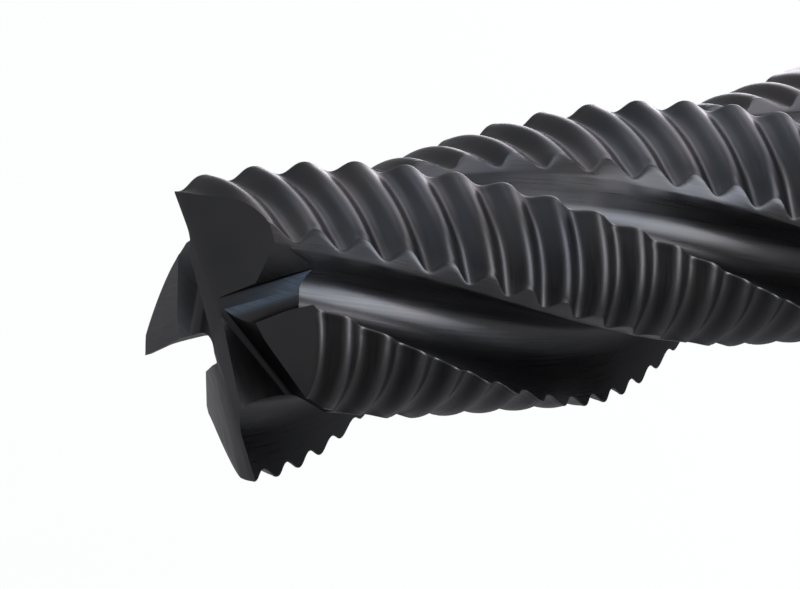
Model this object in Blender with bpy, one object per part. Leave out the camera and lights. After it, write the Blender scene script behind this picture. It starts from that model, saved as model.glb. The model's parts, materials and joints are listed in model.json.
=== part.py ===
"""Roughing end mill with four helical teeth and a rounded chip-breaking profile.

One solid of ground and coated high-speed steel, standing on its shank end with the cutting end up.
Metres, +Z up, origin at the centre of the shank's end face.
The body is a twisted loft of the mill's cross section.
Clearance faces and gashes are then ground into the cutting end by cutters.
"""

import math

import bpy
import numpy as np
from mathutils import Matrix, Vector

# Driving dimensions of the blank
CUTTING_DIAMETER = 12.7e-3
SHANK_DIAMETER = 12.7e-3
OVERALL_LENGTH = 82.55e-3
SHANK_CHAMFER = 0.6e-3

# Driving dimensions of the flutes, seen in a section square to the axis
FLUTE_LENGTH = 31.75e-3
FLUTE_RUNOUT = 9.5e-3
CORE_DIAMETER = 6.4e-3
GULLET_RADIUS = 1.3e-3
LAND_RELIEF = 1.05e-3
LAND_ANGLE = math.radians(44.0)
HEEL_BAND_RELIEF = 0.6e-3
HEEL_BAND_ANGLE = math.radians(9.0)
RAKE_ANGLE = math.radians(4.0)
HELIX_ANGLE = math.radians(30.0)

# Driving dimensions of the rounded roughing profile along each land
PROFILE_PITCH = 1.84e-3
PROFILE_DEPTH = 0.44e-3
PROFILE_FADE = 1.5e-3
PROFILE_LEAD = 0.86

# The first crest of each tooth lies this share of a pitch below the tip
TOOTH_PHASES = (0.59, 0.08, 0.98, 0.26)
TOOTH_ANGLES = tuple(math.radians(angle) for angle in (90.0, 180.0, 270.0, 360.0))

# Driving dimensions of the end teeth
END_MARGIN = 0.36e-3
END_LAND_WIDTH = 1.2e-3
END_LAND_CLEARANCE = math.radians(8.0)
END_FLANK_CLEARANCE = math.radians(21.0)
DISH_ANGLE = math.radians(2.0)
SHORT_TOOTH_BREAK = 2.6e-3
SHORT_TOOTH_SLOPES = (math.radians(4.0), math.radians(12.0))

# Driving dimensions of the gash ahead of each long tooth
LONG_GASH_START = -0.83e-3
LONG_GASH_NEAR = 0.58e-3
LONG_GASH_FLOOR = 1.95e-3
LONG_GASH_SLOPE = math.radians(28.0)
LONG_GASH_NEAR_LEAN = math.radians(7.0)
LONG_GASH_FAR_LEAN = math.radians(22.0)
LONG_GASH_NEAR_RADIUS = 0.25e-3
LONG_GASH_FAR_RADIUS = 0.55e-3

# Driving dimensions of the gash ahead of each short tooth
SHORT_GASH_START = 0.7e-3
SHORT_GASH_NEAR = -0.34e-3
SHORT_GASH_FLOOR = 1.54e-3
SHORT_GASH_SLOPE = math.radians(41.0)
SHORT_GASH_NEAR_LEAN = math.radians(1.0)
SHORT_GASH_FAR_LEAN = math.radians(1.0)
SHORT_GASH_NEAR_RADIUS = 0.85e-3
SHORT_GASH_FAR_RADIUS = 0.05e-3

# Fineness of the mesh
LAND_STEPS = 5
GULLET_STEPS = 4
PROFILE_STEPS = 5
RUNOUT_STEPS = 7
BLEND_STEPS = 3
CORNER_STEPS = 3

# Sizes that follow from the driving dimensions
CUTTING_RADIUS = CUTTING_DIAMETER / 2
SHANK_RADIUS = SHANK_DIAMETER / 2
CORE_RADIUS = CORE_DIAMETER / 2
FLUTE_PITCH_ANGLE = 2 * math.pi / len(TOOTH_ANGLES)
TWIST_PER_METRE = math.tan(HELIX_ANGLE) / CUTTING_RADIUS
CUTTER_REACH = 1.4 * CUTTING_RADIUS
CUTTER_TOP = OVERALL_LENGTH + CUTTING_RADIUS
WHEEL_HEIGHT = 2 * CUTTING_RADIUS
WHEEL_OVERRUN = CUTTING_RADIUS / 2
NAME = "roughing_end_mill"


def clear_scene():
    """Remove every object that the start-up file holds."""
    for item in list(bpy.data.objects):
        bpy.data.objects.remove(item, do_unlink=True)


def polar(radius, angle):
    """Give the plane point at a radius and an angle."""
    return Vector((radius * math.cos(angle), radius * math.sin(angle)))


def land_radius(behind, dip):
    """Give the land's radius at an angle behind the cutting edge.

    The land falls evenly from edge to heel, and dip is how far the profile cuts into it.
    """
    return CUTTING_RADIUS - LAND_RELIEF * behind / LAND_ANGLE - dip


def point_on_line(start, direction, radius):
    """Slide along a line from its outer start to the point at a radius."""
    half = start.dot(direction)
    inside = half * half - start.dot(start) + radius * radius
    return start + direction * (-half - math.sqrt(inside))


def heel_band():
    """Give the two edges of the plain band behind a tooth's land, where the flute begins.

    The tooth behind the flute has its edge on the X axis.
    """
    heel_angle = FLUTE_PITCH_ANGLE - LAND_ANGLE
    heel_radius = land_radius(LAND_ANGLE, 0.0)
    heel = polar(heel_radius, heel_angle)
    band_end = polar(heel_radius - HEEL_BAND_RELIEF, heel_angle - HEEL_BAND_ANGLE)
    return heel, band_end


def rake_line():
    """Give the cutting edge on the X axis and the direction of its rake face inwards."""
    return polar(CUTTING_RADIUS, 0.0), -polar(1.0, RAKE_ANGLE)


def gullet_arc():
    """Give the points of the round gullet from the back of the tooth ahead to the rake face.

    Its circle touches the rake line and the core, and the back wall is a tangent to it.
    """
    edge, rake = rake_line()
    band_end = heel_band()[1]
    off_rake = Vector((rake.y, -rake.x)) * GULLET_RADIUS
    centre = point_on_line(edge + off_rake, rake, CORE_RADIUS + GULLET_RADIUS)
    to_centre = centre - band_end
    half_view = math.asin(GULLET_RADIUS / to_centre.length)
    wall = math.sqrt(to_centre.length_squared - GULLET_RADIUS ** 2)
    touch = band_end + Matrix.Rotation(-half_view, 2) @ to_centre.normalized() * wall
    first = touch - centre
    sweep = (-off_rake).angle_signed(first) % (2 * math.pi)
    return [centre + Matrix.Rotation(sweep * step / GULLET_STEPS, 2) @ first for step in range(GULLET_STEPS + 1)]


def tooth_outline(dip):
    """Give one tooth and the flute behind it, from the cutting edge clockwise.

    Each entry is a radius, an angle from the tooth's own edge and a lead,
    which is the share of a pitch that the profile has moved along the land there.
    """
    edge, rake = rake_line()
    heel, band_end = heel_band()
    outline = []
    tip = point_on_line(edge, rake, land_radius(0.0, dip))
    outline.append((tip.length, math.atan2(tip.y, tip.x), 0.0))
    for step in range(1, LAND_STEPS):
        behind = LAND_ANGLE * step / LAND_STEPS
        outline.append((land_radius(behind, dip), -behind, PROFILE_LEAD * behind / (2 * math.pi)))
    heel_point = heel + (band_end - heel) * (dip / HEEL_BAND_RELIEF)
    arc = gullet_arc()
    flute = [heel_point, band_end] + arc + [(tip + arc[-1]) / 2]
    for point in flute:
        angle = math.atan2(point.y, point.x) - FLUTE_PITCH_ANGLE
        outline.append((point.length, angle, PROFILE_LEAD * LAND_ANGLE / (2 * math.pi)))
    return outline


def section(dip):
    """Give the whole cross section as arrays of radius, angle and profile shift.

    The shift is the distance by which the profile of that column lies lower.
    Teeth are taken clockwise from above, as the points of a tooth's outline are.
    Across a flute the shift runs evenly from one tooth's profile to that of the next.
    """
    outline = tooth_outline(dip)
    radii = []
    angles = []
    shifts = []
    for tooth in reversed(range(len(TOOTH_ANGLES))):
        start = TOOTH_ANGLES[tooth]
        own = TOOTH_PHASES[tooth]
        following = TOOTH_PHASES[tooth - 1]
        for place, (radius, angle, lead) in enumerate(outline):
            across = max(0, place - LAND_STEPS) / (len(outline) - LAND_STEPS)
            phase = (own + lead) * (1 - across) + following * across
            radii.append(radius)
            angles.append(start + angle)
            shifts.append(phase * PROFILE_PITCH)
    return np.array(radii), np.array(angles), np.array(shifts)


def profile_dip(step):
    """Give how far the profile cuts in at a step, from nothing on a crest to full in a valley."""
    below_tip = step * PROFILE_PITCH / PROFILE_STEPS
    fade = min(1.0, max(0.0, (FLUTE_LENGTH - below_tip) / PROFILE_FADE))
    return PROFILE_DEPTH * fade * (0.5 - 0.5 * math.cos(2 * math.pi * step / PROFILE_STEPS))


def fluted_rings():
    """Give the rings of the full-depth flutes, a fixed number of them to each pitch."""
    rings = []
    last = round(FLUTE_LENGTH / PROFILE_PITCH * PROFILE_STEPS)
    for step in range(-PROFILE_STEPS, last + 1):
        radii, angles, shifts = section(profile_dip(step))
        below_tip = step * PROFILE_PITCH / PROFILE_STEPS + shifts
        rings.append((radii, angles, OVERALL_LENGTH - below_tip))
    return rings


def runout_rings(last_ring):
    """Give the rings where each flute rises out of the shank along the wheel's round path.

    The columns of points spread evenly round the shank on the way.
    """
    radii, angles, heights = last_ring
    even = angles[0] - 2 * math.pi * np.arange(len(angles)) / len(angles)
    depth = np.maximum(SHANK_RADIUS - radii, 0.02 * SHANK_RADIUS)
    full_depth = depth.max()
    leave = OVERALL_LENGTH - FLUTE_LENGTH - PROFILE_PITCH - FLUTE_RUNOUT * np.sqrt(depth / full_depth)
    end = OVERALL_LENGTH - FLUTE_LENGTH - PROFILE_PITCH - FLUTE_RUNOUT - SHANK_CHAMFER
    rings = []
    for step in range(1, RUNOUT_STEPS + 1):
        share = step / RUNOUT_STEPS
        rising = radii + (SHANK_RADIUS - radii) * share * share
        spread = angles + (even - angles) * share
        rings.append((rising, spread, heights + (leave - heights) * share))
    round_radii = np.full_like(radii, SHANK_RADIUS)
    for step in range(1, BLEND_STEPS + 1):
        share = step / BLEND_STEPS
        rings.append((round_radii, even, leave + (end - leave) * share))
    return rings


def twisted(ring):
    """Turn each point of a ring by the helix for its distance below the tip."""
    radii, angles, heights = ring
    turned = angles - (OVERALL_LENGTH - heights) * TWIST_PER_METRE
    return np.stack((radii * np.cos(turned), radii * np.sin(turned), heights), axis=1)


def shank_rings(last_ring):
    """Give the rings of the plain shank below the flutes, down to its chamfered end."""
    outward = last_ring[:, :2] / SHANK_RADIUS
    rings = []
    for radius, height in ((SHANK_RADIUS, SHANK_CHAMFER), (SHANK_RADIUS - SHANK_CHAMFER, 0.0)):
        ring = np.empty_like(last_ring)
        ring[:, :2] = outward * radius
        ring[:, 2] = height
        rings.append(ring)
    return rings


def mesh_object(name, vertices, faces):
    """Make an object from plain lists of vertices and faces."""
    mesh = bpy.data.meshes.new(name)
    mesh.from_pydata([tuple(vertex) for vertex in vertices], [], faces)
    mesh.update()
    made = bpy.data.objects.new(name, mesh)
    bpy.context.scene.collection.objects.link(made)
    return made


def loft(name, rings):
    """Join rings of points, from the top one down, into a closed solid with a fan on each end."""
    count = len(rings[0])
    vertices = np.concatenate(rings)
    top = Vector((0.0, 0.0, float(rings[0][:, 2].max())))
    bottom = Vector((0.0, 0.0, float(rings[-1][:, 2].mean())))
    top_index = len(vertices)
    bottom_index = top_index + 1
    last_start = top_index - count
    faces = []
    for ring in range(len(rings) - 1):
        upper = ring * count
        lower = upper + count
        for column in range(count):
            following = (column + 1) % count
            faces.append((upper + column, upper + following, lower + following, lower + column))
    for column in range(count):
        following = (column + 1) % count
        faces.append((top_index, following, column))
        faces.append((bottom_index, last_start + column, last_start + following))
    return mesh_object(name, list(vertices) + [top, bottom], faces)


def blank_end_ring(first_ring):
    """Give a small round ring above the tip, which closes the blank end that is ground away."""
    radii, angles, heights = first_ring
    even = angles[0] - 2 * math.pi * np.arange(len(angles)) / len(angles)
    return np.full_like(radii, CORE_RADIUS / 2), even, np.full_like(heights, heights.max() + PROFILE_PITCH)


def mill_body():
    """Loft the fluted head and the shank in one solid that still stands above the tip."""
    rings = fluted_rings()
    rings.insert(0, blank_end_ring(rings[0]))
    rings.extend(runout_rings(rings[-1]))
    points = [twisted(ring) for ring in rings]
    points.extend(shank_rings(points[-1]))
    return loft(NAME, points)


def tooth_point(tooth, outward, ahead, height):
    """Turn a place measured from a tooth's own radial line into a point of the part."""
    angle = TOOTH_ANGLES[tooth]
    along = polar(outward, angle) + polar(ahead, angle + math.pi / 2)
    return Vector((along.x, along.y, height))


def is_long(tooth):
    """Tell whether a tooth is one of the two whose edges meet on the axis."""
    return tooth % 2 == 0


def edge_height(tooth, outward):
    """Give the height of a tooth's end edge at a distance from the axis.

    A long tooth is dished towards the axis. A short one falls away outside its break.
    """
    if is_long(tooth):
        return OVERALL_LENGTH - (CUTTING_RADIUS - outward) * math.tan(DISH_ANGLE)
    centre = OVERALL_LENGTH - CUTTING_RADIUS * math.tan(DISH_ANGLE)
    slope = SHORT_TOOTH_SLOPES[tooth // 2]
    return centre - max(0.0, outward - SHORT_TOOTH_BREAK) * math.tan(slope)


def land_height(tooth, outward, ahead):
    """Give the height of a tooth's end land, which falls away behind a narrow margin."""
    return edge_height(tooth, outward) + (ahead + END_MARGIN) * math.tan(END_LAND_CLEARANCE)


def flank_height(tooth, outward, ahead):
    """Give the height of the steeper flank behind a tooth's end land."""
    land_end = land_height(tooth, outward, -END_LAND_WIDTH)
    return land_end + (ahead + END_LAND_WIDTH) * math.tan(END_FLANK_CLEARANCE)


def dish_height(tooth, outward, ahead):
    """Give the height of the shallow V that the end is first ground to along the long teeth."""
    return edge_height(tooth, abs(outward))


def clearance_block(name, tooth, outward_stops, ahead_stops, height_at):
    """Make the block that is ground away above one face of the cutting end."""
    vertices = []
    for outward in outward_stops:
        for ahead in ahead_stops:
            vertices.append(tooth_point(tooth, outward, ahead, height_at(tooth, outward, ahead)))
            vertices.append(tooth_point(tooth, outward, ahead, CUTTER_TOP))
    faces = [(0, 1, 3, 2)]
    for start in range(0, len(vertices) - 4, 4):
        for corner, following in ((0, 2), (2, 3), (3, 1), (1, 0)):
            faces.append((start + corner, start + following, start + following + 4, start + corner + 4))
    last = len(vertices) - 4
    faces.append((last, last + 2, last + 3, last + 1))
    return mesh_object(name, vertices, faces)


def gash_corner(virtual, radius, lean, side):
    """Give the rounded corner between the floor and a wall of a gash, from the floor upwards.

    Each point is a distance ahead of the tooth and a rise above the floor.
    The virtual corner is where wall and floor would meet, and side is -1 for the near wall.
    """
    tangent = radius * math.tan((math.pi / 2 - lean) / 2)
    points = []
    for step in range(CORNER_STEPS + 1):
        turn = (math.pi / 2 - lean) * step / CORNER_STEPS
        ahead = virtual + side * (radius * math.sin(turn) - tangent)
        points.append((ahead, radius - radius * math.cos(turn)))
    return points


def gash_profile(tooth):
    """Give the gashing wheel's profile from the top of the near wall to that of the far wall."""
    near = LONG_GASH_NEAR if is_long(tooth) else SHORT_GASH_NEAR
    width = LONG_GASH_FLOOR if is_long(tooth) else SHORT_GASH_FLOOR
    near_lean = LONG_GASH_NEAR_LEAN if is_long(tooth) else SHORT_GASH_NEAR_LEAN
    far_lean = LONG_GASH_FAR_LEAN if is_long(tooth) else SHORT_GASH_FAR_LEAN
    near_radius = LONG_GASH_NEAR_RADIUS if is_long(tooth) else SHORT_GASH_NEAR_RADIUS
    far_radius = LONG_GASH_FAR_RADIUS if is_long(tooth) else SHORT_GASH_FAR_RADIUS
    near_top = (near - WHEEL_HEIGHT * math.tan(near_lean), WHEEL_HEIGHT)
    far_top = (near + width + WHEEL_HEIGHT * math.tan(far_lean), WHEEL_HEIGHT)
    near_corner = gash_corner(near, near_radius, near_lean, -1)
    far_corner = gash_corner(near + width, far_radius, far_lean, 1)
    return [near_top] + near_corner[::-1] + far_corner + [far_top]


def gash_block(name, tooth):
    """Make the wedge that the gashing wheel grinds ahead of a tooth's end edge.

    The wheel enters where the floor leaves the dished end, past the axis for a long tooth,
    and runs down outwards into the flute.
    """
    start = LONG_GASH_START if is_long(tooth) else SHORT_GASH_START
    slope = LONG_GASH_SLOPE if is_long(tooth) else SHORT_GASH_SLOPE
    profile = gash_profile(tooth)
    count = len(profile)
    vertices = []
    for outward in (start - WHEEL_OVERRUN, CUTTER_REACH):
        floor = edge_height(tooth, 0.0) - (outward - start) * math.tan(slope)
        for ahead, rise in profile:
            vertices.append(tooth_point(tooth, outward, ahead, floor + rise))
    faces = [tuple(reversed(range(count))), tuple(range(count, 2 * count))]
    for place in range(count):
        following = (place + 1) % count
        faces.append((place, following, following + count, place + count))
    return mesh_object(name, vertices, faces)


def end_cutters():
    """Make every cutter of the cutting end: the gashes, the dish, then the clearance faces.

    The sides of the clearance blocks all stand inside gashes, where no metal is left.
    """
    everywhere = (-CUTTER_REACH, 0.0, CUTTER_REACH)
    in_long_gash = LONG_GASH_NEAR + 0.4 * LONG_GASH_FLOOR
    in_short_gash = SHORT_GASH_NEAR + 0.75 * SHORT_GASH_FLOOR
    past_centre = -0.5 * LONG_GASH_START
    cutters = [gash_block(f"gash_{tooth + 1}", tooth) for tooth in range(len(TOOTH_ANGLES))]
    cutters.append(clearance_block("dish", 0, everywhere, everywhere[::2], dish_height))
    for tooth in range(len(TOOTH_ANGLES)):
        inner = past_centre if is_long(tooth) else in_long_gash
        front = in_long_gash if is_long(tooth) else in_short_gash
        outward_stops = (inner, SHORT_TOOTH_BREAK, CUTTER_REACH)
        ahead_stops = (-CUTTER_REACH, front)
        cutters.append(clearance_block(f"end_land_{tooth + 1}", tooth, outward_stops, ahead_stops, land_height))
        cutters.append(clearance_block(f"end_flank_{tooth + 1}", tooth, outward_stops, ahead_stops, flank_height))
    return cutters


def grind(body, cutters):
    """Take all the cutters away from the body in one cut and keep them out of sight."""
    wheels = bpy.data.collections.new("cutters")
    bpy.context.scene.collection.children.link(wheels)
    for cutter in cutters:
        cutter.hide_render = True
        cutter.display_type = "WIRE"
        bpy.context.scene.collection.objects.unlink(cutter)
        wheels.objects.link(cutter)
    cut = body.modifiers.new("grind", "BOOLEAN")
    cut.operation = "DIFFERENCE"
    cut.solver = "EXACT"
    cut.operand_type = "COLLECTION"
    cut.collection = wheels


def coated_steel():
    """Make the dark coating of the whole mill."""
    material = bpy.data.materials.new("dark_coating")
    material.use_nodes = True
    shader = material.node_tree.nodes["Principled BSDF"]
    shader.inputs["Base Color"].default_value = (0.045, 0.043, 0.05, 1.0)
    shader.inputs["Metallic"].default_value = 0.85
    shader.inputs["Roughness"].default_value = 0.35
    return material


def finish(body):
    """Shade the round surfaces smooth, keep the ground edges crisp and add the coating."""
    body.data.shade_smooth()
    body.data.set_sharp_from_angle(angle=math.radians(35.0))
    body.data.materials.append(coated_steel())


clear_scene()
mill = mill_body()
grind(mill, end_cutters())
finish(mill)
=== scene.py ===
import json
import math

import bpy
import numpy as np
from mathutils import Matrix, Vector

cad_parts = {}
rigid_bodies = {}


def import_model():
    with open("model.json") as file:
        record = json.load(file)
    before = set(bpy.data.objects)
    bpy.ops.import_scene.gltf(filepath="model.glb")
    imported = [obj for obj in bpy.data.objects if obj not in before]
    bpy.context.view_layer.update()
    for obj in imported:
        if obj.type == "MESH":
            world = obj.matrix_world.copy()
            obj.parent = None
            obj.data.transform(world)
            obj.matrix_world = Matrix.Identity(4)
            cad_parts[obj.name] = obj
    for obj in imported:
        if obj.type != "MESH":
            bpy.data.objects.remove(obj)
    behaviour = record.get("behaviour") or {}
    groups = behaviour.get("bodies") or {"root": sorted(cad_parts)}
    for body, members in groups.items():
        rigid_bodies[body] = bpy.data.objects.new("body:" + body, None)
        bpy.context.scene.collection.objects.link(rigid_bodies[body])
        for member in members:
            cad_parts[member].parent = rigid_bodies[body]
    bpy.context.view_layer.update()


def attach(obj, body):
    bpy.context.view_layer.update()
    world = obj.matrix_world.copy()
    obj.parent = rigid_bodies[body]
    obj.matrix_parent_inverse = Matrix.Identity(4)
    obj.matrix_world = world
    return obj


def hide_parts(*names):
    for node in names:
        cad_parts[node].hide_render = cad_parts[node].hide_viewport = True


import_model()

# The ground bar
# The whole cutter is one bar of high-speed steel. Four helical flutes are ground into it,
# and each land is then ground with a rounded roughing profile that falls away behind its edge.

radius = 6.3485e-3
length = 82.549e-3
chamfer = 0.6e-3
core = 3.2e-3
cut_length = 31.75e-3
runout = 9.5e-3
helix = math.radians(30.0)
land_angle = math.radians(44.0)
land_relief = 1.05e-3
band_angle = math.radians(9.0)
band_relief = 0.6e-3
gullet = 1.3e-3
rake_angle = math.radians(4.0)
pitch = 1.84e-3
groove_depth = 0.44e-3
groove_power = 1.1
groove_fade = 1.5e-3
lead = 0.86
phases = (0.59, 0.08, 0.98, 0.26)
quarter = math.pi / 2
twist = math.tan(helix) / radius
edge_round = 0.035e-3
softening = 0.02e-3
shank_ring = 20e-3
bottom_ring = 1.0e-3
cap_rise = 2.2 * pitch
rows_per_pitch = 20
runout_rows = 28
shank_rows = 4
land_columns = 19
band_stops = (0.35, 0.9)
wall_stops = (0.06, 0.5)
gullet_columns = 12
gullet_start = land_columns + 7
rake_stops = (0.35, 0.7)


def turned(points, angle):
    """Turn plane points, one per row, by an angle about the axis."""
    c, s = math.cos(angle), math.sin(angle)
    return points @ np.array([[c, s], [-s, c]])


def tooth_section(dip):
    """Points of one tooth's section for every groove dip, as an array dips x columns x 2.

    From the edge on the X axis the land runs clockwise and falls in proportion to the angle.
    A dip lowers it straight inwards; the edge slides down the rake line and the heel slides
    along the heel band. Then come the heel band, the back wall, which is the tangent from the
    band's end to the gullet circle, that circle's arc, and the rake face up to the next edge.
    The corners at the edge and at the heel are rounded by a small fillet of three points.
    """
    dip = dip[:, None]
    rake = -np.array([math.cos(rake_angle), math.sin(rake_angle)])
    edge = np.array([radius, 0.0])

    def down_rake(start, away):
        """Where the rake line from a start first comes within a distance away from the axis."""
        along = start @ rake
        return start + rake * (-along - np.sqrt(along * along - start @ start + away * away))

    tip = down_rake(edge, radius - dip)
    share = np.linspace(0.0, 1.0, land_columns)[1:-1]
    land_radius = radius - land_relief * share - dip
    land_turn = land_angle * share
    land = np.stack((land_radius * np.cos(land_turn), -land_radius * np.sin(land_turn)), axis=2)
    heel_radius = radius - land_relief
    heel = turned(np.array([[heel_radius, 0.0]]), -land_angle)
    band_end = turned(np.array([[heel_radius - band_relief, 0.0]]), -land_angle - band_angle)
    heel_point = heel + (band_end - heel) * (dip / band_relief)

    off_rake = np.array([rake[1], -rake[0]]) * gullet
    centre = down_rake(edge + off_rake, core + gullet)
    start = turned(band_end, quarter)[0]
    view = centre - start
    span = math.hypot(*view)
    wall = math.sqrt(span * span - gullet * gullet)
    touch = start + turned(view[None] / span, -math.asin(gullet / span))[0] * wall
    first = math.atan2(*(touch - centre)[::-1])
    last = math.atan2(*(-off_rake)[::-1])
    sweep = (last - first) % (2 * math.pi)
    turn = first + sweep * np.linspace(0.0, 1.0, gullet_columns)
    arc = centre + gullet * np.stack((np.cos(turn), np.sin(turn)), axis=1)
    arc = turned(arc, -quarter)
    next_tip = turned(tip, -quarter)
    next_rake = turned(rake[None], -quarter)[0]

    rows = len(dip)
    step = np.array([0.0, -1.0])
    columns = [(tip + step * edge_round)[:, None], (tip + step * 3 * edge_round)[:, None], land]
    band = (band_end - heel) / np.linalg.norm(band_end - heel)
    along_land = turned(step[None], -land_angle)
    columns.append((heel_point - along_land * 3 * edge_round)[:, None])
    columns.append((heel_point - along_land * edge_round)[:, None])
    columns.append((heel_point + band * edge_round)[:, None])
    for stop in band_stops:
        columns.append((heel_point + (band_end - heel_point) * stop)[:, None])
    wall_points = [band_end + (arc[:1] - band_end) * stop for stop in wall_stops]
    fixed = np.concatenate((*wall_points, arc))
    columns.append(np.broadcast_to(fixed, (rows,) + fixed.shape))
    for stop in rake_stops:
        columns.append((arc[-1] + (next_tip - arc[-1]) * stop)[:, None])
    columns.append((next_tip + next_rake * 3 * edge_round)[:, None])
    columns.append((next_tip + next_rake * edge_round)[:, None])
    next_step = turned(step[None], -quarter)[0]
    columns.append((next_tip + (next_rake + next_step) * 0.3 * edge_round)[:, None])
    return np.concatenate(columns, axis=1)


def groove_dip(phase, fade):
    """The groove's dip is depth x fade x (half minus half cosine of the phase) to its power."""
    return groove_depth * fade * (0.5 - 0.5 * np.cos(2 * np.pi * phase)) ** groove_power


def fluted_bar():
    """The bar's surface as a grid, rows down the axis and columns clockwise round it.

    Row k lies k steps of the profile below the tip on every tooth's own count: each column is
    lowered by its tooth's phase and by the lead along the land, so a crest is one row. Across a
    flute the count passes evenly to the next tooth. The whole is turned by twist x depth.
    Below the cut the columns ease out to the round shank over the run-out and spread evenly.
    With it come each column's share in the flute, and for every fluted row the walk round the bar
    and the distance from the nearest edge, both in millimetres.
    """
    last = round(cut_length / pitch * rows_per_pitch)
    count = np.arange(-rows_per_pitch, last + 1)
    below = count * pitch / rows_per_pitch
    fade = np.clip((cut_length - below) / groove_fade, 0.0, 1.0)
    tooth = tooth_section(groove_dip(count / rows_per_pitch, fade))
    per_tooth = tooth.shape[1]
    behind = -np.arctan2(tooth[-1, :, 1], tooth[-1, :, 0])
    on_land = np.clip(behind / land_angle, 0.0, 1.0)
    across = np.clip((behind - land_angle) / (quarter - land_angle), 0.0, 1.0)
    across[-1] = 1.0
    rows = len(count)
    radii = np.tile(np.linalg.norm(tooth, axis=2), (1, 4))
    local = -np.arctan2(tooth[:, :, 1], tooth[:, :, 0])
    local[:, per_tooth // 2:] %= 2 * np.pi
    order = (3, 2, 1, 0)
    angles = np.concatenate([quarter * (n + 1) - local for n in order], axis=1)
    shift = []
    for n in order:
        own = phases[n] + lead * land_angle * on_land / (2 * np.pi)
        shift.append((own * (1 - across) + phases[n - 1] * across) * pitch)
    shift = np.concatenate(shift)
    depth = below[:, None] + shift
    heights = length - depth

    end_radii, end_angles, end_heights = radii[-1], angles[-1], heights[-1]
    columns = len(end_radii)
    even = end_angles[0] - 2 * np.pi * np.arange(columns) / columns
    sunk = np.maximum(radius - end_radii, 0.02 * radius)
    cut_foot = length - cut_length - pitch
    leave = cut_foot - runout * np.sqrt(sunk / sunk.max())
    foot = cut_foot - runout - chamfer
    share = np.linspace(0.0, 1.0, runout_rows + 1)[1:, None]
    run_radii = end_radii + (radius - end_radii) * share ** 2
    run_angles = end_angles + (even - end_angles) * share
    run_heights = end_heights + (leave - end_heights) * share
    share = np.linspace(0.0, 1.0, shank_rows + 1)[1:, None]
    plain_heights = leave + (foot - leave) * share
    plain_radii = np.full_like(plain_heights, radius)
    plain_angles = np.broadcast_to(even, plain_heights.shape)
    radii = np.concatenate((radii, run_radii, plain_radii))
    angles = np.concatenate((angles, run_angles, plain_angles))
    heights = np.concatenate((heights, run_heights, plain_heights))
    turn = angles - (length - heights) * twist
    grid = np.stack((radii * np.cos(turn), radii * np.sin(turn), heights), axis=2)

    outward = grid[-1, :, :2] / radius
    shank = [
        (radius, shank_ring),
        (radius, chamfer + 3 * softening),
        (radius - softening, chamfer),
        (radius - chamfer + softening, 1.5 * softening),
        (radius - chamfer - 2 * softening, 0.0),
        (bottom_ring, 0.0),
    ]
    level = np.ones((columns, 1))
    rings = [np.concatenate((outward * r, level * z), axis=1) for r, z in shank]
    cap = np.concatenate((outward * core / 2, level * (length + cap_rise)), axis=1)
    grid = np.concatenate((cap[None], grid, np.array(rings)))
    in_flute = np.tile(np.clip((behind - land_angle) / (0.6 * band_angle), 0.0, 1.0), 4)

    closed = np.concatenate((tooth, turned(tooth[:, :1], -quarter)), axis=1)
    steps = np.linalg.norm(np.diff(closed, axis=1), axis=2)
    walk = np.concatenate((np.zeros((rows, 1)), np.cumsum(steps, axis=1)), axis=1) * 1000
    from_edge = np.minimum(walk, walk[:, -1:] - walk)
    round_tooth = walk[0, -1]
    level_at = slice(gullet_start, gullet_start + 1)
    walk = walk - walk[:, level_at] + walk[:1, level_at]
    walks = [walk[:, :-1] + n * round_tooth for n in range(4)] + [walk[:, -1:] + 3 * round_tooth]
    edges = [from_edge[:, :-1]] * 4 + [from_edge[:, -1:]]
    return grid, in_flute, np.concatenate(walks, axis=1), np.concatenate(edges, axis=1)


def closed_grid(grid):
    """Vertices and faces of a tube of grid rows, closed by a fan at each end."""
    rows, columns = grid.shape[:2]
    index = np.arange(rows * columns).reshape(rows, columns)
    after = np.roll(index, -1, axis=1)
    quads = np.stack((index[:-1], after[:-1], after[1:], index[1:]), axis=2).reshape(-1, 4)
    ends = grid[[0, -1]].mean(axis=1)
    top = np.stack((index[0], np.full(columns, rows * columns), after[0]), axis=1)
    bottom = np.stack((index[-1], after[-1], np.full(columns, rows * columns + 1)), axis=1)
    vertices = np.concatenate((grid.reshape(-1, 3), ends))
    return vertices, quads, np.concatenate((top, bottom))


bar_grid, flute_share, bar_walk, bar_edge = fluted_bar()
bar_vertices, bar_quads, bar_fans = closed_grid(bar_grid)
bar_mesh = bpy.data.meshes.new("bar")
bar_mesh.from_pydata(bar_vertices, [], bar_quads.tolist() + bar_fans.tolist())
bar = bpy.data.objects.new("bar", bar_mesh)
bpy.context.scene.collection.objects.link(bar)

# Two maps in millimetres: one of the path along the helix and the walk round the bar, for the
# grinding marks, and one of the distance from the nearest cutting edge, for its wear and painted
# highlight
spare_rows = len(bar_grid) - len(bar_walk) - 1
bar_walk = np.pad(bar_walk, ((1, spare_rows), (0, 0)), mode="edge")
bar_edge = np.pad(bar_edge, ((1, spare_rows), (0, 0)), mode="edge")
along = (length - bar_grid[:, :, 2].mean(axis=1)) * 1000 / math.cos(helix)
bar_along = np.broadcast_to(along[:, None], bar_walk.shape)
fluted = bar_along < cut_length * 1000 / math.cos(helix)
bar_edge = np.where(fluted, bar_edge, 1.0)


def at_corners(values):
    """The values of a row x column grid at the corners of its quads, then of the two closing fans."""
    quads = np.stack((values[:-1, :-1], values[:-1, 1:], values[1:, 1:], values[1:, :-1]), axis=2)
    ends = (values[0], values[-1])
    fans = [np.stack((row[:-1], row[1:], row[:-1]), axis=1).ravel() for row in ends]
    return np.concatenate((quads.ravel(), *fans))


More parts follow.
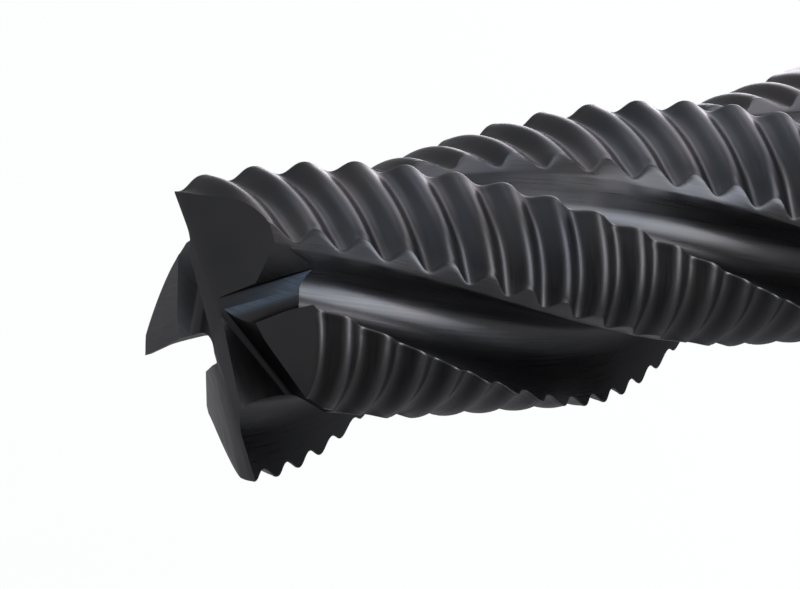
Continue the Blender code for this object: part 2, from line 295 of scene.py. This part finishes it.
for map_name, first, second in (("grind", bar_along, bar_walk), ("edge", bar_edge, bar_along)):
    bar_map = bar_mesh.uv_layers.new(name=map_name)
    both_values = np.stack((at_corners(first), at_corners(second)), axis=1)
    bar_map.data.foreach_set("uv", both_values.ravel())

# Each face keeps which ground surface it is: 0 for the lands and the shank, 1 for the flutes
column_kind = (np.minimum(flute_share, np.roll(flute_share, -1)) > 0.0).astype(np.int32)
row_middle = (bar_grid[:-1, :, 2] + bar_grid[1:, :, 2]) / 2
flutes_end = length - cut_length - 1.02 * pitch - runout
face_kind = np.where(row_middle < flutes_end, 0, column_kind[None])
face_kind = np.concatenate((face_kind.ravel(), np.zeros(len(bar_fans), np.int32)))

# The end teeth
# Two long teeth meet on the axis and two short ones stop before it. A wheel gashes a wedge ahead
# of each one, and flat wheels dish the end and grind a land and a steeper flank behind each edge.

reach = 1.4 * radius
wheel_top = length + radius
dish = math.radians(2.0)
short_break = 2.6e-3
short_slopes = (math.radians(4.0), math.radians(12.0))
margin = 0.36e-3
land_width = 1.2e-3
land_clearance = math.radians(8.0)
flank_clearance = math.radians(21.0)
relief_outline = ((2.5e-3, 1.17e-3), (3.9e-3, 1.17e-3), (4.3e-3, 2.55e-3), (3.7e-3, 2.6e-3))
relief_drop = 0.65e-3
relief_slopes = (-1.668, 1.511)
relief_lean = 0.3e-3
land_inner = 0.415e-3
in_long = 1.36e-3
in_short = 0.815e-3
corner_points = 9
gashes = {
    "long": dict(
        start=-0.83e-3,
        slope=math.radians(28.0),
        near=(0.58e-3, math.radians(7.0), 0.25e-3),
        far=(2.53e-3, math.radians(22.0), 0.55e-3),
    ),
    "short": dict(
        start=0.7e-3,
        slope=math.radians(41.0),
        near=(-0.34e-3, math.radians(1.0), 0.85e-3),
        far=(1.2e-3, math.radians(1.0), 0.05e-3),
    ),
}


def tooth_place(n, outward, ahead, height):
    """Points of the part from distances outward and ahead of a tooth's own radial line."""
    a = quarter * (n + 1)
    x = outward * math.cos(a) - ahead * math.sin(a)
    y = outward * math.sin(a) + ahead * math.cos(a)
    return np.stack(np.broadcast_arrays(x, y, height), axis=-1)


def edge_height(n, outward):
    """A long edge rises outwards at the dish angle. A short one is level, then falls past its break."""
    if n % 2 == 0:
        return length - (radius - outward) * math.tan(dish)
    past_break = np.maximum(0.0, outward - short_break)
    return length - radius * math.tan(dish) - past_break * math.tan(short_slopes[n // 2])


def solid_between(name, lower, upper):
    """A closed block from two outlines with the same number of points, as a hidden cutter.

    Its map runs in millimetres along the path from one outline to the other, and across it.
    """
    n = len(lower)
    faces = [tuple(range(n))[::-1], tuple(range(n, 2 * n))]
    faces += [(i, (i + 1) % n, n + (i + 1) % n, n + i) for i in range(n)]
    mesh = bpy.data.meshes.new(name)
    points = np.concatenate((lower, upper))
    mesh.from_pydata(points, [], faces)
    ground = mesh.uv_layers.new(name="grind")
    touched = np.zeros(len(mesh.loops), np.int32)
    mesh.loops.foreach_get("vertex_index", touched)
    path = upper.mean(axis=0) - lower.mean(axis=0)
    path = path / np.linalg.norm(path)
    side = np.cross(path, [0.0, 0.0, 1.0])
    side = side / np.linalg.norm(side)
    place = np.stack((points @ path, points @ side + points[:, 2]), axis=1) * 1000
    ground.data.foreach_set("uv", place[touched].ravel())
    mesh.uv_layers.new(name="edge").data.foreach_set("uv", np.ones(2 * len(touched)))
    made = bpy.data.objects.new(name, mesh)
    wheels.objects.link(made)
    return made


def gash(n):
    """The gashing wheel's profile, two leaning walls with round corners, carried down its slope.

    Each side gives its place ahead of the tooth's radial line, its lean and its corner radius.
    """
    facts = gashes["long" if n % 2 == 0 else "short"]
    outline = []
    for side, (place, lean, corner) in ((-1, facts["near"]), (1, facts["far"])):
        turn = np.linspace(0.0, math.pi / 2 - lean, corner_points)
        tangent = corner * math.tan((math.pi / 2 - lean) / 2)
        ahead = place + side * (corner * np.sin(turn) - tangent)
        rise = corner - corner * np.cos(turn)
        ahead = np.append(ahead, place + side * 2 * radius * math.tan(lean))
        rise = np.append(rise, 2 * radius)
        pair = np.stack((ahead, rise), axis=1)
        outline.append(pair[::-1] if side < 0 else pair)
    outline = np.concatenate(outline)
    ends = []
    for outward in (facts["start"] - radius / 2, reach):
        floor = edge_height(n, 0.0) - (outward - facts["start"]) * math.tan(facts["slope"])
        ends.append(tooth_place(n, outward, outline[:, 0], floor + outline[:, 1]))
    solid_between(f"gash_{n}", *ends)


def relief(n):
    """The block above a leaning facet beside a short gash, under the long tooth's heel.

    The facet is a plane, given by its drop at the first corner and its slopes outward and ahead.
    """
    outward, ahead = np.array(relief_outline).T
    rise = relief_slopes[0] * (outward - outward[0]) + relief_slopes[1] * (ahead - ahead[0])
    lower = tooth_place(n, outward, ahead, length - relief_drop + rise)
    upper = tooth_place(n, outward + relief_lean, ahead, np.full(len(outward), wheel_top))
    solid_between(f"relief_{n}", lower, upper)


def faced(name, n, outward_stops, ahead_stops, height_at):
    """The block above one ground face, in spans between the outward stops."""
    for k in range(len(outward_stops) - 1):
        inner, outer = outward_stops[k], outward_stops[k + 1]
        corners = []
        for outward in (inner, outer):
            low = height_at(n, outward, np.array(ahead_stops))
            ahead = np.array([ahead_stops[0], ahead_stops[1], ahead_stops[1], ahead_stops[0]])
            height = np.array([low[0], low[1], wheel_top, wheel_top])
            corners.append(tooth_place(n, outward, ahead, height))
        solid_between(f"{name}_{n}_{k}", *corners)


def land_height(n, outward, ahead):
    """The end land falls at its clearance angle behind a narrow margin."""
    return edge_height(n, outward) + (ahead + margin) * math.tan(land_clearance)


def flank_height(n, outward, ahead):
    """The flank falls at its own angle behind the land."""
    return land_height(n, outward, -land_width) + (ahead + land_width) * math.tan(flank_clearance)


def dish_height(n, outward, ahead):
    """The dished end is a shallow V along the long teeth."""
    return edge_height(n, abs(outward)) + 0 * ahead


wheels = bpy.data.collections.new("wheels")
bpy.context.scene.collection.children.link(wheels)
faced("dish", 0, (-reach, 0.0, reach), (-reach, reach), dish_height)
for n in (1, 3):
    relief(n)
for n in range(4):
    gash(n)
    inner, front = (land_inner, in_long) if n % 2 == 0 else (in_long, in_short)
    faced("land", n, (inner, short_break, reach), (-reach, front), land_height)
    faced("flank", n, (inner, short_break, reach), (-reach, front), flank_height)

cut = bar.modifiers.new("grind", "BOOLEAN")
cut.operation = "DIFFERENCE"
cut.solver = "EXACT"
cut.operand_type = "COLLECTION"
cut.collection = wheels
cut.use_self = True
surface_names = ("land", "flute", "end")
for surface_name in surface_names:
    bar_mesh.materials.append(bpy.data.materials.new(surface_name))
bar_mesh.polygons.foreach_set("material_index", face_kind)
for wheel in wheels.objects:
    for surface_name in surface_names:
        wheel.data.materials.append(bpy.data.materials[surface_name])
    end_index = [surface_names.index("end")] * len(wheel.data.polygons)
    wheel.data.polygons.foreach_set("material_index", end_index)
bpy.context.view_layer.update()
ground_bar = bar.evaluated_get(bpy.context.evaluated_depsgraph_get())
finished = bpy.data.meshes.new_from_object(ground_bar)
finished.name = "cutter"
cutter = bpy.data.objects.new("cutter", finished)
bpy.context.scene.collection.objects.link(cutter)
for wheel in list(wheels.objects) + [bar]:
    bpy.data.objects.remove(wheel, do_unlink=True)
bpy.data.collections.remove(wheels)
finished.shade_smooth()
finished.set_sharp_from_angle(angle=math.radians(38.0))

# The coating
# A thin dark nitride film over the ground steel. It is dark grey with faint violet and blue,
# and the grinding marks under it run along each surface as the wheel went.


def coating(name, base, rough, marks, stretch_share):
    """A metal film with a wandering tint, and grinding marks as noise stretched along the wheel's path.

    The marks move the roughness and a fine bump. Within a few hundredths of a millimetre of a
    cutting edge the base is lightened towards bright steel, partly as wear of the film and partly as
    a painted highlight along the edge. The end faces keep their whole film.
    """
    material = bpy.data.materials[name]
    material.use_nodes = True
    nodes, links = material.node_tree.nodes, material.node_tree.links
    shader = nodes["Principled BSDF"]
    shader.inputs["Metallic"].default_value = 1.0
    shader.inputs["Specular Tint"].default_value = (0.78, 0.78, 0.8, 1.0)
    shader.inputs["Anisotropic"].default_value = stretch_share
    shader.inputs["Anisotropic Rotation"].default_value = 0.25
    across = nodes.new("ShaderNodeTangent")
    across.direction_type = "UV_MAP"
    across.uv_map = "grind"
    links.new(across.outputs["Tangent"], shader.inputs["Tangent"])
    place = nodes.new("ShaderNodeTexCoord")
    tint_noise = nodes.new("ShaderNodeTexNoise")
    tint_noise.inputs["Scale"].default_value = 300.0
    tint_noise.inputs["Detail"].default_value = 3.0
    links.new(place.outputs["Object"], tint_noise.inputs["Vector"])
    tint = nodes.new("ShaderNodeValToRGB")
    tint.color_ramp.elements[0].position = 0.3
    tint.color_ramp.elements[0].color = (base[0] * 0.86, base[1] * 0.9, base[2] * 0.97, 1.0)
    tint.color_ramp.elements[1].position = 0.7
    tint.color_ramp.elements[1].color = (base[0] * 1.14, base[1] * 1.08, base[2] * 1.05, 1.0)
    links.new(tint_noise.outputs["Fac"], tint.inputs["Fac"])
    ground = nodes.new("ShaderNodeUVMap")
    ground.uv_map = "grind"
    lay = nodes.new("ShaderNodeMapping")
    lay.inputs["Scale"].default_value = marks
    links.new(ground.outputs["UV"], lay.inputs["Vector"])
    mark_noise = nodes.new("ShaderNodeTexNoise")
    mark_noise.inputs["Scale"].default_value = 1.0
    mark_noise.inputs["Detail"].default_value = 3.0
    links.new(lay.outputs["Vector"], mark_noise.inputs["Vector"])
    spread = nodes.new("ShaderNodeMapRange")
    spread.inputs["From Min"].default_value = 0.3
    spread.inputs["From Max"].default_value = 0.7
    spread.inputs["To Min"].default_value = rough * 0.85
    spread.inputs["To Max"].default_value = rough * 1.2
    links.new(mark_noise.outputs["Fac"], spread.inputs["Value"])
    links.new(spread.outputs["Result"], shader.inputs["Roughness"])
    bump = nodes.new("ShaderNodeBump")
    bump.inputs["Strength"].default_value = 0.25
    bump.inputs["Distance"].default_value = 0.000004
    links.new(mark_noise.outputs["Fac"], bump.inputs["Height"])
    links.new(bump.outputs["Normal"], shader.inputs["Normal"])
    if name == "end":
        links.new(tint.outputs["Color"], shader.inputs["Base Color"])
        return
    beside = nodes.new("ShaderNodeUVMap")
    beside.uv_map = "edge"
    parts = nodes.new("ShaderNodeSeparateXYZ")
    links.new(beside.outputs["UV"], parts.inputs["Vector"])
    # Wear and painted highlight: within 0.03 mm of a cutting edge the base is a tenth of the way to
    # bright steel, fading out by 0.08 mm
    edge = nodes.new("ShaderNodeMapRange")
    edge.inputs["From Min"].default_value = 0.03
    edge.inputs["From Max"].default_value = 0.08
    edge.inputs["To Min"].default_value = 0.1
    edge.inputs["To Max"].default_value = 0.0
    links.new(parts.outputs["X"], edge.inputs["Value"])
    wear_and_edge_highlight = nodes.new("ShaderNodeMix")
    wear_and_edge_highlight.data_type = "RGBA"
    wear_and_edge_highlight.inputs["B"].default_value = (0.25, 0.25, 0.26, 1.0)
    links.new(edge.outputs["Result"], wear_and_edge_highlight.inputs["Factor"])
    links.new(tint.outputs["Color"], wear_and_edge_highlight.inputs["A"])
    links.new(wear_and_edge_highlight.outputs["Result"], shader.inputs["Base Color"])


coating("land", (0.0265, 0.026, 0.0275), 0.4, (9.0, 0.6, 1.0), 0.2)
coating("flute", (0.033, 0.033, 0.035), 0.3, (0.25, 12.0, 1.0), 0.2)
coating("end", (0.0245, 0.0242, 0.0255), 0.36, (0.8, 14.0, 1.0), 0.4)

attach(cutter, "root")
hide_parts("roughing_end_mill")

# The floor
# A plain white paper sheet under the cutter. It shows as white to the camera and in reflections,
# and it keeps the cutter's shadow.

bpy.ops.mesh.primitive_plane_add(size=3.0, location=(0.0, 0.0, -0.00005))
floor = bpy.context.object
floor.name = "floor"
paper = bpy.data.materials.new("paper")
paper.use_nodes = True
paper_nodes, paper_links = paper.node_tree.nodes, paper.node_tree.links
paper_nodes["Principled BSDF"].inputs["Base Color"].default_value = (0.8, 0.8, 0.8, 1.0)
paper_nodes["Principled BSDF"].inputs["Roughness"].default_value = 0.9
glow = paper_nodes.new("ShaderNodeEmission")
glow.inputs["Color"].default_value = (1.0, 1.0, 1.0, 1.0)
seen = paper_nodes.new("ShaderNodeLightPath")
either = paper_nodes.new("ShaderNodeMath")
either.operation = "MAXIMUM"
any_of = paper_nodes.new("ShaderNodeMath")
any_of.operation = "MAXIMUM"
part = paper_nodes.new("ShaderNodeMath")
part.operation = "MULTIPLY"
part.inputs[1].default_value = 0.85
blend = paper_nodes.new("ShaderNodeMixShader")
paper_links.new(seen.outputs["Is Camera Ray"], either.inputs[0])
paper_links.new(seen.outputs["Is Glossy Ray"], either.inputs[1])
paper_links.new(either.outputs["Value"], any_of.inputs[0])
paper_links.new(seen.outputs["Is Transmission Ray"], any_of.inputs[1])
paper_links.new(any_of.outputs["Value"], part.inputs[0])
paper_links.new(part.outputs["Value"], blend.inputs["Fac"])
paper_links.new(paper_nodes["Principled BSDF"].outputs["BSDF"], blend.inputs[1])
paper_links.new(glow.outputs["Emission"], blend.inputs[2])
paper_links.new(blend.outputs["Shader"], paper_nodes["Material Output"].inputs["Surface"])
floor.data.materials.append(paper)

# The light
# A pale room and soft lamps: a panel on the floor and a lamp on the far side, one on each side
# of the camera, and a small cool one high in front.

world = bpy.data.worlds.new("room")
bpy.context.scene.world = world
world.use_nodes = True
world.node_tree.nodes["Background"].inputs["Color"].default_value = (1.0, 1.0, 1.0, 1.0)
world.node_tree.nodes["Background"].inputs["Strength"].default_value = 1.0


def lamp(name, place, aim, size, glow, color):
    """A soft rectangular lamp at a place, facing another, with the glow that a mirror would show.

    Its power is the glow times four times its area. The first side of its size lies level.
    """
    light = bpy.data.lights.new(name, "AREA")
    light.shape = "RECTANGLE"
    light.size, light.size_y = size
    light.energy = glow * size[0] * size[1] * 4
    light.color = color
    made = bpy.data.objects.new(name, light)
    bpy.context.scene.collection.objects.link(made)
    made.location = place
    made.rotation_euler = (Vector(place) - Vector(aim)).to_track_quat("Z", "Y").to_euler()
    made.visible_camera = False


lamp("low_panel", (0.005, 0.058, 0.001), (0.005, 0.058, 0.1), (0.16, 0.086), 5.2, (1.0, 0.96, 0.98))
lamp("far_side", (0.055, 0.1, 0.02), (0.0, 0.0, 0.072), (0.11, 0.06), 3.0, (0.95, 0.97, 1.0))
lamp("right", (0.084, -0.048, 0.025), (0.0, 0.0, 0.076), (0.11, 0.06), 8.0, (0.93, 0.97, 1.0))
lamp("left", (0.105, 0.105, 0.097), (0.0, 0.0, 0.076), (0.13, 0.08), 2.6, (0.84, 0.93, 1.0))
lamp("front_left", (0.16, 0.043, 0.42), (0.0, 0.0, 0.08), (0.1, 0.1), 8.0, (0.45, 0.73, 1.0))

# The flag
# A sheet on the near side, bent like a card, that glows grey though it is no lamp: painted reflection.
# Its glow is painted darker close to the cutter and at its top, as painted shade in the reflections.
# Only reflections show it, and it keeps the lower side of the cutter dark.

bend = np.linspace(0.0, math.pi / 2, 13)
flag_y = np.concatenate(([0.009], -0.1 - 0.1 * np.sin(bend), [-0.2]))
flag_z = np.concatenate(([0.002], 0.102 - 0.1 * np.cos(bend), [0.4]))
flag_x = np.array([-0.35, 0.35])
flag_points = np.stack(np.broadcast_arrays(flag_x[:, None], flag_y, flag_z), axis=2).reshape(-1, 3)
flag_first = np.arange(len(flag_y) - 1)
across_flag = len(flag_y)
flag_sides = (flag_first, flag_first + 1, flag_first + 1 + across_flag, flag_first + across_flag)
flag_faces = np.stack(flag_sides, axis=1)
flag_mesh = bpy.data.meshes.new("flag")
flag_mesh.from_pydata(flag_points, [], flag_faces.tolist())
flag = bpy.data.objects.new("flag", flag_mesh)
bpy.context.scene.collection.objects.link(flag)
reflection_glow = bpy.data.materials.new("grey_cloth")
reflection_glow.use_nodes = True
reflection_glow_nodes, reflection_glow_links = reflection_glow.node_tree.nodes, reflection_glow.node_tree.links
reflection_glow_nodes["Principled BSDF"].inputs["Base Color"].default_value = (0.02, 0.02, 0.02, 1.0)
reflection_glow_nodes["Principled BSDF"].inputs["Emission Color"].default_value = (1.0, 1.0, 1.0, 1.0)
reflection_glow_place = reflection_glow_nodes.new("ShaderNodeTexCoord")
reflection_glow_parts = reflection_glow_nodes.new("ShaderNodeSeparateXYZ")
# Painted reflection: the glow rises away from the cutter and falls at the top of the sheet, painting
# shade into the cutter's reflections
shade = reflection_glow_nodes.new("ShaderNodeMapRange")
shade.inputs["From Min"].default_value = -0.02
shade.inputs["From Max"].default_value = -0.09
shade.inputs["To Min"].default_value = 0.12
shade.inputs["To Max"].default_value = 0.75
reflection_glow_links.new(reflection_glow_place.outputs["Object"], reflection_glow_parts.inputs["Vector"])
reflection_glow_links.new(reflection_glow_parts.outputs["Y"], shade.inputs["Value"])
upper_shade = reflection_glow_nodes.new("ShaderNodeMapRange")
upper_shade.inputs["From Min"].default_value = 0.105
upper_shade.inputs["From Max"].default_value = 0.13
upper_shade.inputs["To Min"].default_value = 1.0
upper_shade.inputs["To Max"].default_value = 0.12
both = reflection_glow_nodes.new("ShaderNodeMath")
both.operation = "MULTIPLY"
reflection_glow_links.new(reflection_glow_parts.outputs["Z"], upper_shade.inputs["Value"])
reflection_glow_links.new(shade.outputs["Result"], both.inputs[0])
reflection_glow_links.new(upper_shade.outputs["Result"], both.inputs[1])
reflection_glow_links.new(both.outputs["Value"], reflection_glow_nodes["Principled BSDF"].inputs["Emission Strength"])
flag_mesh.materials.append(reflection_glow)
flag.visible_camera = False
flag.visible_diffuse = False
flag.visible_shadow = False

# The camera
# It stands where the photo was taken from, and is rolled so that the standing cutter lies across
# the picture.

camera_data = bpy.data.cameras.new("camera")
camera_data.sensor_width = 36.0
camera_data.lens = 231.05
camera_data.clip_start = 0.01
camera = bpy.data.objects.new("camera", camera_data)
bpy.context.scene.collection.objects.link(camera)
camera.location = (0.173745, -0.023037, 0.196022)
camera.rotation_euler = (math.radians(-16.1276), math.radians(53.28984), math.radians(-27.3648))
bpy.context.scene.camera = camera
bpy.context.scene.view_settings.view_transform = "Standard"
